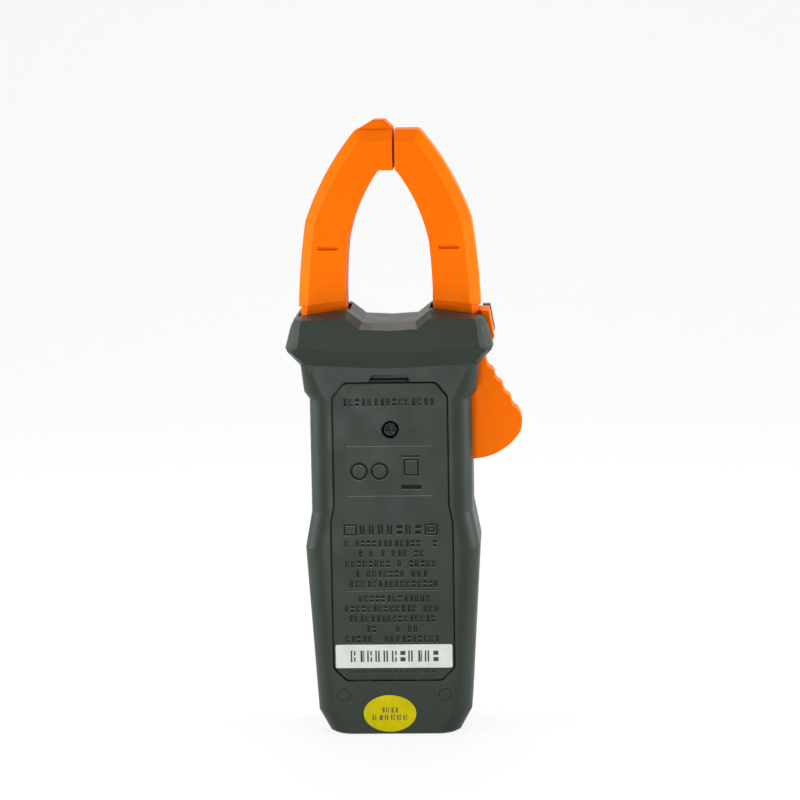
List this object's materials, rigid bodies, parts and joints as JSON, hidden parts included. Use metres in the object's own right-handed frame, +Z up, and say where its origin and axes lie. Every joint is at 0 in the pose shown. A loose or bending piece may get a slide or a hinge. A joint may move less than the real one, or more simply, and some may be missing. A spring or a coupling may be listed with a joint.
{
  "type": "clamp meter",
  "caption": "Handheld clamp meter with a hinged current jaw worked by a side trigger, rotary selector, display, soft keys and a screwed battery door on its back.",
  "frame": {"origin": "centre of the bottom end, on the surface it stands on", "axes": "+X to the right and -Y towards the user when the display is read, +Z up towards the jaw tips; the back with the battery door faces +Y"},
  "size_m": [0.0782, 0.0444, 0.2058],
  "materials": {
    "case_plastic": "textured dark grey-green ABS",
    "jaw_plastic": "fine-textured orange ABS",
    "door_plastic": "textured dark grey-green ABS",
    "panel_film": "printed polycarbonate fascia",
    "lens_glass": "clear acrylic window",
    "lcd_glass": "liquid crystal cell",
    "white_plastic": "white moulding",
    "light_guide": "diffusing light guide",
    "button_rubber": "grey silicone rubber",
    "knob_plastic": "black ABS",
    "rubber": "black rubber",
    "board_green": "glass-epoxy board with solder mask",
    "component_black": "moulded epoxy packages",
    "steel": "zinc-plated steel",
    "dark_screw": "black-oxide steel",
    "spring_steel": "spring steel wire",
    "nickel": "nickel plate",
    "brass": "turned brass",
    "silicon_steel": "laminated silicon steel",
    "copper": "enamelled copper wire",
    "nylon": "natural nylon",
    "cell_jacket": "shrink sleeve on a cell",
    "label_white": "white polyester label",
    "sticker_yellow": "yellow vinyl sticker"
  },
  "bodies": {
    "housing": {"battery_left": "cell_jacket", "battery_plates": "nickel", "battery_right": "cell_jacket", "battery_springs": "spring_steel", "battery_tray": "knob_plastic", "board_components": "component_black", "buzzer": "component_black", "case_screws": "steel", "display_lens": "lens_glass", "door_insert": "brass", "door_seal": "rubber", "fixed_bobbin": "nylon", "fixed_coil": "copper", "fixed_core": "silicon_steel", "fixed_jaw_front": "jaw_plastic", "fixed_jaw_rear": "jaw_plastic", "front_case": "case_plastic", "front_panel": "panel_film", "jack_contacts": "brass", "jack_insulator_com": "knob_plastic", "jack_insulator_volts": "jaw_plastic", "jaw_spring": "spring_steel", "lcd_backlight": "light_guide", "lcd_frame": "white_plastic", "lcd_panel": "lcd_glass", "main_board": "board_green", "ncv_antenna": "copper", "pivot_pin": "steel", "qc_sticker": "sticker_yellow", "rear_case": "case_plastic", "screw_plugs": "case_plastic", "tact_switches": "component_black", "zebra_strips": "rubber"},
    "moving_jaw": {"moving_jaw_front": "jaw_plastic", "moving_jaw_rear": "jaw_plastic", "moving_core": "silicon_steel", "moving_coil": "copper", "moving_bobbin": "nylon", "trigger": "jaw_plastic", "pivot_bush": "brass"},
    "dial": {"dial_knob": "knob_plastic", "dial_pointer": "white_plastic", "dial_rotor": "nylon", "wiper_contacts": "brass", "detent_balls": "steel", "detent_springs": "spring_steel", "dial_clip": "spring_steel"},
    "door": {"battery_door": "door_plastic", "door_screw": "dark_screw", "rating_label": "label_white"},
    "button_1": {"button_1": "button_rubber"},
    "button_2": {"button_2": "button_rubber"},
    "button_3": {"button_3": "button_rubber"},
    "button_4": {"button_4": "button_rubber"}
  },
  "joints": [
    {"name": "jaw_hinge", "type": "hinge", "parent": "housing", "child": "moving_jaw", "pos_m": [-0.022, 0, 0.131], "axis": [0, -1, 0], "range_deg": [0, 26], "stiffness_Nm_per_rad": 0.35, "springref_deg": -28.65, "deforming": ["jaw_spring"]},
    {"name": "dial_turn", "type": "hinge", "parent": "housing", "child": "dial", "pos_m": [0, -0.018, 0.099], "axis": [0, -1, 0], "range_deg": [0, 180]},
    {"name": "door_hinge", "type": "hinge", "parent": "housing", "child": "door", "pos_m": [0, 0.01665, 0.0191], "axis": [-1, 0, 0], "range_deg": [0, 60]},
    {"name": "button_1_press", "type": "slide", "parent": "housing", "child": "button_1", "axis": [0, 1, 0], "range_m": [0, 0.0007], "stiffness_N_per_m": 800, "springref_m": -0.0005},
    {"name": "button_2_press", "type": "slide", "parent": "housing", "child": "button_2", "axis": [0, 1, 0], "range_m": [0, 0.0007], "stiffness_N_per_m": 800, "springref_m": -0.0005},
    {"name": "button_3_press", "type": "slide", "parent": "housing", "child": "button_3", "axis": [0, 1, 0], "range_m": [0, 0.0007], "stiffness_N_per_m": 800, "springref_m": -0.0005},
    {"name": "button_4_press", "type": "slide", "parent": "housing", "child": "button_4", "axis": [0, 1, 0], "range_m": [0, 0.0007], "stiffness_N_per_m": 800, "springref_m": -0.0005}
  ]
}
